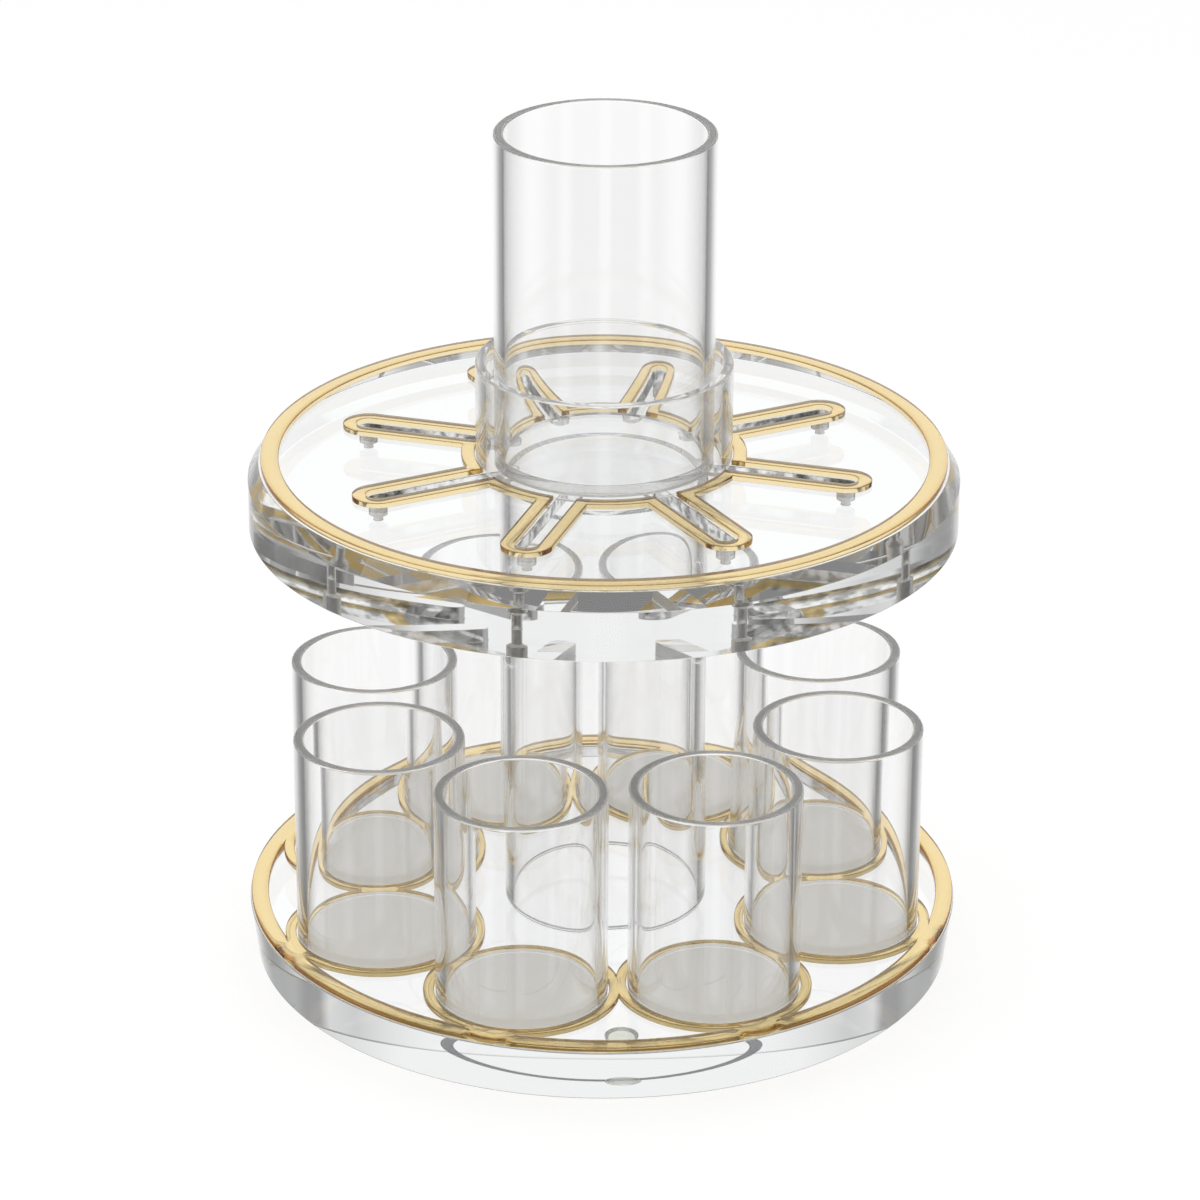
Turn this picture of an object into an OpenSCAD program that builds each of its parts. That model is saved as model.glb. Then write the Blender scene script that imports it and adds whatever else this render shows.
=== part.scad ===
// Table fountain for sharing wine: a clear upper disc carries the large cup in a collar, and radial
// grooves lead what is poured there to drains above a ring of small cups on the base disc.
// Clear acrylic throughout, with gold mirror sheet laid on the two discs.

/* [Small cups] */
// Outside diameter of a small cup's tube
cup_d = 50.8; // [44:0.2:56]
// Wall of a small cup
cup_wall = 3; // [2:0.25:4]
// Height of a small cup
cup_h = 65; // [50:1:80]
// Thickness of the floor disc set into a small cup
cup_floor_t = 3; // [2:0.5:6]

/* [Large cup] */
// Outside diameter of the large cup's tube
large_cup_d = 65; // [58:0.5:70]
// Wall of the large cup
large_cup_wall = 3; // [2:0.25:4]
// Height of the large cup
large_cup_h = 100; // [80:1:130]
// Thickness of the floor disc set into the large cup
large_cup_floor_t = 3; // [2:0.5:6]

/* [Collar] */
// Free gap between the large cup and the collar around it
well_gap = 2.5; // [1:0.25:4]
// Wall of the collar
collar_wall = 3; // [2:0.25:4]
// Height of the collar above the upper disc
collar_h = 30; // [20:1:40]

/* [Base] */
// Thickness of the base disc
base_t = 16; // [12:0.5:20]
// Diameter of a bumper foot where it meets the base
foot_d = 10; // [7:0.5:13]
// Height of a bumper foot
foot_h = 3; // [2:0.25:5]
// Distance of the feet's centres from the base's edge
foot_inset = 22.5; // [14:0.5:30]

/* [Column] */
// Outside diameter of the column tube
column_d = 62; // [50:1:76]
// Wall of the column tube
column_wall = 3; // [2:0.25:5]
// Height of the column between the two discs
column_h = 122; // [105:1:140]

/* [Upper disc] */
// Thickness of the upper disc
disc_t = 20; // [16:0.5:25]
// How far the upper disc stops short of the base's edge
disc_inset = 2.5; // [1:0.25:5]
// Radial width of the bevel around the upper disc
bevel_w = 3.2; // [2:0.1:5]
// Height of that bevel
bevel_h = 5; // [3:0.25:8]
// Turn of the upper disc on the column, which moves its drains off the middle of the cups
disc_turn = 1.5; // [-5:0.5:5]

/* [Grooves and drains] */
// Width of a groove
groove_w = 5.8; // [4.8:0.1:7]
// Depth of a groove
groove_depth = 4; // [2.5:0.25:5.5]
// How far a groove runs in under the large cup
groove_reach = 5.5; // [3:0.25:8]
// Ledge left around the well drilled in a groove's outer end
well_ledge = 0.15; // [0.1:0.05:0.4]
// Diameter of a drain
drain_d = 2.8; // [2:0.1:3.8]
// Length of a drain at the bottom of the upper disc
drain_len = 4.5; // [3:0.25:7]
// Point angle of the drill that makes the well
drill_point = 118; // [90:1:140]

/* [Gold sheet] */
// Thickness of the gold sheet
gold_t = 1.5; // [1:0.25:2.5]
// Width of the ring laid around the upper disc
rim_ring_w = 5.4; // [3:0.2:8]
// Clear margin between that ring and the bevel
rim_ring_margin = 0.6; // [0.3:0.1:2]
// Width of the band that outlines the collar and the grooves
trim_band = 4; // [3:0.1:5]
// Clear margin between a groove and the band beside it
groove_margin = 0.7; // [0.3:0.1:1.5]
// Width of the outer ring of the base lattice
lattice_ring_w = 5.6; // [4:0.2:9]
// Width of the lattice's ring around each small cup
cup_ring_w = 3.2; // [2.4:0.1:5]
// How far neighbouring rings of the lattice run into each other
ring_merge = 0.7; // [0.4:0.1:1.2]

/* [Fits] */
// Free gap around a small cup in its ring of the lattice
cup_clearance = 0.4; // [0.3:0.05:0.8]
// Gap between the collar and the band around it
trim_clearance = 0.3; // [0.1:0.05:0.5]
// Cement gap around a floor disc in its tube
cement_gap = 0.1; // [0.05:0.01:0.2]
// Eased edge on discs, rims and feet
edge_ease = 0.4; // [0.2:0.1:0.8]

/* [Hidden] */
$fn = 96;
cup_count = 8;
foot_count = 4;
cut_over = 1;

CLEAR = [0.93, 0.95, 0.95, 0.4];
FROSTED = [0.78, 0.77, 0.75];
GOLD = [0.93, 0.78, 0.42];

cup_r = cup_d / 2;
cup_seat_r = cup_r + cup_clearance;
cup_ring_r = cup_seat_r + cup_ring_w;
cup_circle_r = (cup_ring_r - ring_merge) / sin(180 / cup_count);

lattice_inner_r = cup_circle_r + cup_ring_r - ring_merge;
base_r = lattice_inner_r + lattice_ring_w;
foot_circle_r = base_r - foot_inset;
foot_sole_r = foot_d / 2 - foot_h / 4;

large_cup_r = large_cup_d / 2;
collar_bore_r = large_cup_r + well_gap;
collar_r = collar_bore_r + collar_wall;

disc_r = base_r - disc_inset;
rim_ring_r = disc_r - bevel_w - rim_ring_margin;
groove_half_w = groove_w / 2;
groove_start_r = large_cup_r - groove_reach + groove_half_w;
well_r = groove_half_w - well_ledge;
drain_r = drain_d / 2;
well_cone_h = (well_r - drain_r) / tan(drill_point / 2);

slot_r = groove_half_w + groove_margin;
finger_r = slot_r + trim_band;
trim_inner_r = collar_r + trim_clearance;
trim_outer_r = trim_inner_r + trim_band;

base_z = foot_h;
base_top_z = base_z + base_t;
disc_z = base_top_z + column_h;
disc_top_z = disc_z + disc_t;

function cup_angle(i) = (i - 0.5) * 360 / cup_count;
function foot_angle(i) = i * 360 / foot_count;
function tube_name(i) = str("small_cup_", i, "_tube");
function floor_name(i) = str("small_cup_", i, "_floor");
function foot_name(i) = str("foot_", i);

// Disc standing on z = 0 with both its edges eased
module eased_disc(r, t) {
    rotate_extrude()
        polygon([
            [0, 0], [r - edge_ease, 0], [r, edge_ease],
            [r, t - edge_ease], [r - edge_ease, t], [0, t]
        ]);
}

// Tube standing on z = 0, cut square below and eased on both sides of its rim
module rimmed_tube(r, wall, h) {
    bore = r - wall;
    rotate_extrude()
        polygon([
            [bore, 0], [r, 0], [r, h - edge_ease],
            [r - edge_ease, h], [bore + edge_ease, h], [bore, h - edge_ease]
        ]);
}

// Flat ring between two radii
module ring_2d(outer_r, inner_r) {
    difference() {
        circle(r = outer_r);
        circle(r = inner_r);
    }
}

// Straight slot from one radius to the centre of its round outer end, along +X
module slot_2d(half_w, from_r, to_r) {
    translate([from_r, -half_w])
        square([to_r - from_r, 2 * half_w]);
    translate([to_r, 0])
        circle(r = half_w);
}

// Children at the place of every small cup, turned to face outwards
module at_every_cup() {
    for (i = [1:cup_count])
        rotate(cup_angle(i))
            children();
}

// The collar's circle with one slot running out over every drain
module star_2d(hub_r, half_w) {
    circle(r = hub_r);
    at_every_cup()
        slot_2d(half_w, 0, cup_circle_r);
}

// Groove from under the large cup to its drain, cut from the top of the upper disc
module groove() {
    translate([0, 0, disc_t - groove_depth])
        linear_extrude(groove_depth + cut_over) {
            slot_2d(groove_half_w, groove_start_r, cup_circle_r);
            translate([groove_start_r, 0])
                circle(r = groove_half_w);
        }
}

// Drilled well at a groove's outer end, narrowing by the drill's point to the drain below it
module drilled_drain() {
    well_top = disc_t - groove_depth + cut_over;
    translate([cup_circle_r, 0, 0])
        rotate_extrude()
            polygon([
                [0, -cut_over], [drain_r, -cut_over], [drain_r, drain_len],
                [well_r, drain_len + well_cone_h], [well_r, well_top], [0, well_top]
            ]);
}

module base_disc() {
    color(CLEAR)
        translate([0, 0, base_z])
            eased_disc(base_r, base_t);
}

module base_lattice() {
    color(GOLD)
        translate([0, 0, base_top_z])
            linear_extrude(gold_t)
                difference() {
                    union() {
                        ring_2d(base_r - edge_ease, lattice_inner_r);
                        at_every_cup()
                            translate([cup_circle_r, 0])
                                circle(r = cup_ring_r);
                    }
                    at_every_cup()
                        translate([cup_circle_r, 0])
                            circle(r = cup_seat_r);
                }
}

module column_tube() {
    color(CLEAR)
        translate([0, 0, base_top_z])
            rotate_extrude()
                translate([column_d / 2 - column_wall, 0])
                    square([column_wall, column_h]);
}

module top_disc() {
    color(CLEAR)
        translate([0, 0, disc_z])
            difference() {
                rotate_extrude()
                    polygon([
                        [0, 0], [disc_r - edge_ease, 0], [disc_r, edge_ease],
                        [disc_r, disc_t - bevel_h], [disc_r - bevel_w, disc_t], [0, disc_t]
                    ]);
                rotate(disc_turn)
                    at_every_cup() {
                        groove();
                        drilled_drain();
                    }
            }
}

module rim_ring() {
    color(GOLD)
        translate([0, 0, disc_top_z])
            linear_extrude(gold_t)
                ring_2d(rim_ring_r, rim_ring_r - rim_ring_w);
}

module channel_trim() {
    color(GOLD)
        translate([0, 0, disc_top_z])
            linear_extrude(gold_t)
                rotate(disc_turn)
                    difference() {
                        star_2d(trim_outer_r, finger_r);
                        star_2d(trim_inner_r, slot_r);
                    }
}

module well_collar() {
    color(CLEAR)
        translate([0, 0, disc_top_z])
            rimmed_tube(collar_r, collar_wall, collar_h);
}

module large_cup_tube() {
    color(CLEAR)
        translate([0, 0, disc_top_z])
            rimmed_tube(large_cup_r, large_cup_wall, large_cup_h);
}

module large_cup_floor() {
    color(CLEAR)
        translate([0, 0, disc_top_z])
            cylinder(r = large_cup_r - large_cup_wall - cement_gap, h = large_cup_floor_t);
}

module small_cup_tube(i) {
    color(CLEAR)
        rotate(cup_angle(i))
            translate([cup_circle_r, 0, base_top_z])
                rimmed_tube(cup_r, cup_wall, cup_h);
}

module small_cup_floor(i) {
    color(FROSTED)
        rotate(cup_angle(i))
            translate([cup_circle_r, 0, base_top_z])
                cylinder(r = cup_r - cup_wall - cement_gap, h = cup_floor_t);
}

module foot(i) {
    color(CLEAR)
        rotate(foot_angle(i))
            translate([foot_circle_r, 0, 0])
                rotate_extrude()
                    polygon([
                        [0, 0], [foot_sole_r - edge_ease, 0], [foot_sole_r, edge_ease],
                        [foot_d / 2, foot_h], [0, foot_h]
                    ]);
}

base_disc();
base_lattice();
column_tube();
top_disc();
rim_ring();
channel_trim();
well_collar();
large_cup_tube();
large_cup_floor();
for (i = [1:cup_count]) {
    small_cup_tube(i);
    small_cup_floor(i);
}
for (i = [1:foot_count])
    foot(i);
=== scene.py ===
"""Table fountain for sharing wine, dressed over its packed construction.

The clear acrylic discs, tubes and cups are surfaces of revolution with exact normals, so that they bend
light evenly. The gold mirror sheet lies on the two discs as flat cut-outs with eased edges. Every size is
in millimetres until a mesh is written, which is in metres.
"""

import logging
import math
from dataclasses import dataclass
from enum import Enum

import bpy
import numpy as np
from mathutils import Matrix, Vector
from mathutils.geometry import delaunay_2d_cdt


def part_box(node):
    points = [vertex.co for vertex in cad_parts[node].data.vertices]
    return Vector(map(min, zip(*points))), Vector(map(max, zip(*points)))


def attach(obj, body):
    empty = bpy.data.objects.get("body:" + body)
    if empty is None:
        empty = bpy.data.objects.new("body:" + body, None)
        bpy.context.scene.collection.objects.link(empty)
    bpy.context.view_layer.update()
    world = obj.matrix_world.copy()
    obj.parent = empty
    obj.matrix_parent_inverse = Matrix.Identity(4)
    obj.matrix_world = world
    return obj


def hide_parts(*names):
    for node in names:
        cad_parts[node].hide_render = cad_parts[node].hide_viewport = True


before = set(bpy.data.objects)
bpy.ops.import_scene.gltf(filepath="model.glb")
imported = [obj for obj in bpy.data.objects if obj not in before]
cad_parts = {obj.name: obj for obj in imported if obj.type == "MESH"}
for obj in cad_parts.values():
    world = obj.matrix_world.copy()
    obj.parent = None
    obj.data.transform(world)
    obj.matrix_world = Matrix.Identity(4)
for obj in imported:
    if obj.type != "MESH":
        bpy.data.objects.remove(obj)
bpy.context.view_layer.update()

LOG = logging.getLogger("table_fountain")
MM = 0.001
TAU = 2 * math.pi
CUP_COUNT = 8
SECTOR = TAU / CUP_COUNT
ACRYLIC_IOR = 1.491
SMOOTH_ANGLE = math.radians(30)
WELD_DECIMALS = 6
MERGE_DISTANCE = 1e-7
TRIANGLES_WITHOUT_HOLES = 2

Array = np.ndarray
Section = tuple[Array, Array]
Point = tuple[float, float]
Stops = tuple[Point, ...]
Paint = Array | int
Material = bpy.types.Material
Tree = bpy.types.NodeTree
Node = bpy.types.Node
Socket = bpy.types.NodeSocket


class Slot(Enum):
    """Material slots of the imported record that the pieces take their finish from."""

    CLEAR = "clear_acrylic"
    FROSTED = "frosted_acrylic"
    GOLD = "gold_mirror_acrylic"
    BUMPER = "clear_bumper"


class TubePaint(Enum):
    """Material slots of a tube's mesh."""

    DRAWN = 0
    CUT_AND_SHADE = 1
    JOINT_SHADE = 2


class TubeKind(Enum):
    """How a tube is finished and seated."""

    CUP = "sawn rim and foot, standing free"
    COLLAR = "polished rim, cemented foot"
    # The line around the column's foot is painted shade: dark paint on its foot's roundings and its face.
    COLUMN = "cemented at both ends, with a line of cement around its foot"


class EdgePaint(Enum):
    """Material slots of the meshes of the base disc and the feet."""

    SKIN = 0
    PAINTED_SHADE = 1


class DiscPaint(Enum):
    """Material slots of the upper disc's mesh."""

    POLISHED = 0
    MILLED_AND_PAINTED_LIGHT = 1
    DRILLED_AND_SHADE = 2


class SheetPaint(Enum):
    """Material slots of a gold sheet's mesh."""

    CLEAR = 0
    FILM = 1
    BACK = 2
    SHADE_LINE = 3


class Shading(Enum):
    """How a mesh gets its normals: from its formula, or from the angle between its faces."""

    EXACT = "exact"
    BY_ANGLE = "by_angle"


# Colours and nodes


def linear(hex_colour: str) -> tuple[float, float, float, float]:
    """Turns an sRGB hex colour into linear light.

    Args:
        hex_colour: A hash and six hex digits.

    Returns:
        Linear red, green and blue, and an alpha of 1.
    """
    srgb = np.array([int(hex_colour[i:i + 2], 16) for i in (1, 3, 5)]) / 255
    light = np.where(srgb <= 0.04045, srgb / 12.92, ((srgb + 0.055) / 1.055) ** 2.4)
    return (*light.tolist(), 1.0)


def set_inputs(node: Node, inputs: dict) -> None:
    """Sets or links inputs of a node.

    Args:
        node: The node.
        inputs: Value or output socket for each input, by the input's name or index.
    """
    for key, value in inputs.items():
        if isinstance(value, Socket):
            node.id_data.links.new(value, node.inputs[key])
        else:
            node.inputs[key].default_value = value


def add_node(tree: Tree, kind: str, inputs: dict | None = None, **settings: object) -> Node:
    """Adds one node with its settings, and sets or links its inputs.

    Args:
        tree: Node tree that the node goes into.
        kind: Blender's name for the kind of node.
        inputs: Value or output socket for each input, by the input's name or index.
        settings: Properties of the node itself.

    Returns:
        The new node.
    """
    node = tree.nodes.new(kind)
    for name, value in settings.items():
        setattr(node, name, value)
    set_inputs(node, inputs or {})
    return node


def new_material(name: str) -> tuple[Material, Tree, Node]:
    """Makes a material that shows one plain shader.

    Args:
        name: Name of the material.

    Returns:
        The material, its node tree and its shader.
    """
    material = bpy.data.materials.new(name)
    material.use_nodes = True
    tree = material.node_tree
    return material, tree, tree.nodes["Principled BSDF"]


def clouds(tree: Tree, size: float, detail: float, along: float = 1.0) -> Socket:
    """Adds a cloudy pattern that sits still on its piece.

    Args:
        tree: Node tree that the pattern goes into.
        size: Size of a cloud in millimetres.
        detail: Number of finer layers of clouds.
        along: Share of its speed with which the pattern changes upwards; a small one gives upright streaks.

    Returns:
        The pattern's value, from 0 to 1.
    """
    place = add_node(tree, "ShaderNodeTexCoord").outputs["Object"]
    drawn = add_node(tree, "ShaderNodeMapping", {"Vector": place, "Scale": (1, 1, along)}).outputs[0]
    return add_node(tree, "ShaderNodeTexNoise", {
        "Vector": drawn, "Scale": 1 / (size * MM), "Detail": detail}).outputs[0]


# Finishes


@dataclass(frozen=True)
class ClearAcrylic:
    """Water-clear acrylic with a smooth skin.

    What making it leaves is a faint ripple, drawn out upwards, that breaks what shows behind it into soft
    streaks. Where its flat faces are true, only the upright walls have the ripple.
    """

    name: str
    tint: str
    ripple_depth: float = 0.0
    ripple_pitch: float = 4.0
    ripple_detail: float = 1.0
    ripple_along: float = 0.04
    true_faces: bool = True

    def material(self) -> Material:
        """Builds the clear material.

        Returns:
            The material.
        """
        material, tree, shader = new_material(self.name)
        set_inputs(shader, {
            "Base Color": linear(self.tint), "Transmission Weight": 1.0, "IOR": ACRYLIC_IOR,
            "Roughness": 0.0})
        if self.ripple_depth:
            ripple = clouds(tree, self.ripple_pitch, self.ripple_detail, self.ripple_along)
            strength = 1.0
            if self.true_faces:
                normal = add_node(tree, "ShaderNodeTexCoord").outputs["Normal"]
                upward = add_node(tree, "ShaderNodeSeparateXYZ", {0: normal}).outputs["Z"]
                flat = add_node(tree, "ShaderNodeMath", {0: upward}, operation="ABSOLUTE").outputs[0]
                strength = add_node(tree, "ShaderNodeMath", {0: 1.0, 1: flat},
                                    operation="SUBTRACT").outputs[0]
            bump = add_node(tree, "ShaderNodeBump", {
                "Strength": strength, "Distance": self.ripple_depth * MM, "Height": ripple})
            set_inputs(shader, {"Normal": bump.outputs[0]})
        return material


@dataclass(frozen=True)
class GrainedFinish:
    """A finish whose tone, gloss and relief follow one cloudy grain.

    Grit and tools leave a grain of about 0.2 mm, which is under one pixel here, so it is drawn coarser.
    """

    name: str
    light: str
    dark: str
    grain: float
    roughness: Point
    detail: float = 2.0
    blur: float = 1.0
    relief: float = 0.0
    clearness: float = 0.0
    metal: float = 0.0

    def material(self) -> Material:
        """Builds the material; a metal keeps the shader's own refraction.

        Returns:
            The material.
        """
        material, tree, shader = new_material(self.name)
        pattern = clouds(tree, self.grain, self.detail)
        share = add_node(tree, "ShaderNodeMapRange", {
            "Value": pattern, "From Min": (1 - self.blur) / 2, "From Max": (1 + self.blur) / 2})
        tone = add_node(tree, "ShaderNodeMix", {
            0: share.outputs[0], 6: linear(self.dark), 7: linear(self.light)}, data_type="RGBA")
        smooth, rough = self.roughness
        gloss = smooth
        if rough > smooth:
            gloss = add_node(tree, "ShaderNodeMapRange", {
                "Value": pattern, "To Min": smooth, "To Max": rough}).outputs[0]
        set_inputs(shader, {
            "Base Color": tone.outputs[2], "Metallic": self.metal, "Transmission Weight": self.clearness,
            "Roughness": gloss})
        if not self.metal:
            set_inputs(shader, {"IOR": ACRYLIC_IOR})
        if self.relief:
            bump = add_node(tree, "ShaderNodeBump", {
                "Strength": 1.0, "Distance": self.relief * MM, "Height": pattern})
            set_inputs(shader, {"Normal": bump.outputs[0]})
        return material


@dataclass(frozen=True)
class CementedJointShade:
    """The solvent-cemented end of a clear tube, painted dark on its outer side as painted shade.

    Light inside the disc below leaves it here and runs up the tube's wall, so from within the disc the joint
    is painted dark, as painted shade for that escaping light. It stays clear from within the tube.
    """

    name: str = "solvent_cemented_joint_painted_shade"
    tint: str = "#FEFEFE"
    # Colour of the painted shade on the joint's outer side.
    dark: str = "#3C4248"
    roughness: float = 0.05

    def material(self) -> Material:
        """Builds the material of the column's foot: painted shade on its outer side, clear on its inner side.

        Returns:
            The material.
        """
        material, tree, shader = new_material(self.name)
        within = add_node(tree, "ShaderNodeNewGeometry").outputs["Backfacing"]
        tone = add_node(tree, "ShaderNodeMix", {
            0: within, 6: linear(self.dark), 7: linear(self.tint)}, data_type="RGBA")
        set_inputs(shader, {
            "Base Color": tone.outputs[2], "Transmission Weight": within, "IOR": ACRYLIC_IOR,
            "Roughness": self.roughness})
        return material


# Cast sheet with flame-polished edges: mirror-smooth, and on the edges the ripple of the polished saw cut.
CAST = ClearAcrylic("cast_acrylic_polished", "#FDFEFE", ripple_depth=0.006)
# Extruded tube: the die leaves faint draw lines along its length, which show as soft upright streaks.
TUBE = ClearAcrylic("extruded_acrylic_tube", "#FEFEFE", ripple_depth=0.0015, ripple_pitch=3.0,
                    ripple_detail=2.0, ripple_along=0.01, true_faces=False)
# Grey acrylic, blasted on one face: closed to the eye and evenly grey, with a fine satin grain.
FROSTED = GrainedFinish("frosted_acrylic_blasted", "#CBC9C4", "#C4C2BD", grain=0.7, roughness=(0.35, 0.35),
                        detail=3.0, relief=0.03)
# Clear moulded polyurethane: it shows through the base it is stuck to, faintly green and a little cloudy.
BUMPER = GrainedFinish("moulded_urethane_bumper", "#EDF0EA", "#D3D8CE", grain=2.5, roughness=(0.0, 0.04),
                       clearness=0.95)
# Acrylic as the saw, the mill and the drill leave it: clear inside, with a satin skin that scatters light.
# The milled and drilled tones also carry painted light and shade, as noted at each.
SAWN = GrainedFinish("sawn_acrylic_satin", "#D4D3D0", "#B2B0AC", grain=0.8, roughness=(0.3, 0.46),
                     relief=0.02, clearness=1.0)
# Milled: tool marks, and sharp white and dark clouds that are painted reflections and shade in the grooves.
MILLED_AND_PAINTED_LIGHT = GrainedFinish("milled_acrylic_satin", "#F2F2F0", "#666664", grain=3.0, roughness=(0.12, 0.3),
                       blur=0.2, relief=0.02, clearness=1.0)
# Drilled: its dark grey is painted shade; it also paints dark shade lines on the column's foot, the base's
# lower edge and the feet's sides.
DRILLED_AND_SHADE = GrainedFinish("drilled_acrylic_satin", "#9C9C99", "#6C6C69", grain=0.8, roughness=(0.3, 0.46),
                        relief=0.02, clearness=1.0)
# Gold mirror acrylic, in the order of SheetPaint: a clear cast sheet, over a vacuum-coated film that gives a
# pale gold mirror with a fine grain, on a lacquered back of a deeper, half-dull yellow. The sheet's cut edges
# are clear; its upper rims carry a painted thin brown line, painted shade that outlines the sheet.
GOLD = (
    ClearAcrylic("gold_mirror_acrylic_sheet", "#FFFBF0"),
    GrainedFinish("gold_mirror_acrylic_film", "#F9E8B6", "#F4DDA2", grain=1.2, roughness=(0.03, 0.09),
                  detail=3.0, metal=1.0),
    GrainedFinish("gold_mirror_acrylic_lacquered_back", "#F8DA8E", "#EFCC76", grain=2.0,
                  roughness=(0.15, 0.15), metal=0.92),
    GrainedFinish("gold_mirror_acrylic_painted_shade_line", "#B08A48", "#5C4322", grain=6.0,
                  roughness=(0.2, 0.2), clearness=0.6))


# Outlines and sections


def turned(points: Array, angle: float) -> Array:
    """Turns flat points, x and y in the last axis, anticlockwise about the origin by an angle in radians."""
    c, s = math.cos(angle), math.sin(angle)
    return points @ np.array([[c, s], [-s, c]])


def arc(radius: float, start: float, end: float, steps: int, centre: Point = (0, 0)) -> Array:
    """Points centre + radius * (cos, sin) at even angles from start to end, both included."""
    angles = np.linspace(start, end, steps)
    return np.array(centre) + radius * np.stack([np.cos(angles), np.sin(angles)], -1)


def circle(radius: float, steps: int, centre: Point = (0, 0)) -> Array:
    """Points at even angles all the way round, without repeating the first."""
    return arc(radius, 0, TAU, steps + 1, centre)[:-1]


def slot_outline(half_width: float, start: float, end: float, steps: int) -> Section:
    """Outline of a slot along +X: a half circle about each end's centre, joined by straight sides.

    Args:
        half_width: Half the slot's width.
        start: Radius of the centre of its inner end.
        end: Radius of the centre of its outer end.
        steps: Points on each half circle.

    Returns:
        The outline's points and their outward normals.
    """
    outer, inner = arc(1, -TAU / 4, TAU / 4, steps), arc(1, TAU / 4, TAU * 3 / 4, steps)
    normals = np.concatenate([outer, inner])
    centres = np.repeat([[end, 0.0], [start, 0.0]], steps, axis=0)
    return centres + half_width * normals, normals


def star_outline(hub: float, half_width: float, reach: float, first_angle: float, steps: int) -> Array:
    """Outline of a round hub with straight, round-ended arms.

    On each arm the side leaves the hub where the hub's circle is half_width from the arm's line. It runs
    to the arm's round end, centred at reach, and comes back, and the hub's arc leads to the next arm.

    Args:
        hub: Radius of the hub.
        half_width: Half the width of an arm.
        reach: Radius of the centre of an arm's round end.
        first_angle: Angle of the first arm in radians.
        steps: Points on each round end and on each stretch of the hub.

    Returns:
        The closed outline's points, anticlockwise.
    """
    leave = math.asin(half_width / hub)
    side = hub * math.cos(leave)
    sides = np.stack([np.linspace(side, reach, steps), np.full(steps, -half_width)], -1)
    end = arc(half_width, -TAU / 4, TAU / 4, steps, (reach, 0))
    hub_arc = arc(hub, leave, SECTOR - leave, steps)
    arm = np.concatenate([sides[:-1], end, (sides * [1, -1])[::-1][1:], hub_arc[1:-1]])
    return np.concatenate([turned(arm, first_angle + k * SECTOR) for k in range(CUP_COUNT)])


def rounded_section(corners: list[Point], radii: list[float], closed: bool = False,
                    steps: int = 5) -> Section:
    """Turns the corners of a section into arcs that are tangent to both their sides.

    With half the corner's angle h and a radius r, an arc starts r / tan(h) from its corner along one side,
    ends as far along the other, and is centred r / sin(h) along the line that halves the corner. The
    material lies to the left of the section's direction, so normals point to its right.

    Args:
        corners: Corner points. On an open section the first and last only give its ends' directions.
        radii: Radius at each corner, or on an open section at each but the first and last.
        closed: True if the section comes back to its first corner.
        steps: Points on each arc.

    Returns:
        The section's points and their normals, all on arcs.
    """
    points = np.array(corners, float)
    before, after = np.roll(points, 1, axis=0), np.roll(points, -1, axis=0)
    if not closed:
        before, points, after = before[1:-1], points[1:-1], after[1:-1]
    radius = np.array(radii, float)[:, None]
    back, on = before - points, after - points
    back /= np.linalg.norm(back, axis=1, keepdims=True)
    on /= np.linalg.norm(on, axis=1, keepdims=True)
    half = np.arccos(np.clip((back * on).sum(1, keepdims=True), -1, 1)) / 2
    middle = (back + on) / np.linalg.norm(back + on, axis=1, keepdims=True)
    centre = points + middle * radius / np.sin(half)
    spoke = points + back * radius / np.tan(half) - centre
    turn = np.sign(on[:, :1] * back[:, 1:] - on[:, 1:] * back[:, :1])
    angle = turn * (math.pi - 2 * half) * np.linspace(0, 1, steps)
    x, y = spoke[:, :1], spoke[:, 1:]
    spokes = np.stack([x * np.cos(angle) - y * np.sin(angle), x * np.sin(angle) + y * np.cos(angle)], -1)
    normals = spokes * (turn / radius)[:, :, None]
    return (centre[:, None] + spokes).reshape(-1, 2), normals.reshape(-1, 2)


def raised(outlines: list[Array], heights: Array) -> Array:
    """Stacks flat outlines into a grid, each at its own height.

    Args:
        outlines: Flat outlines with equally many points.
        heights: Height of each outline.

    Returns:
        The grid of points, place along the outline first.
    """
    flat = np.stack(outlines, axis=1)
    upward = np.broadcast_to(heights, flat.shape[:2])
    return np.concatenate([flat, upward[..., None]], axis=-1)


# Meshes


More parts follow.
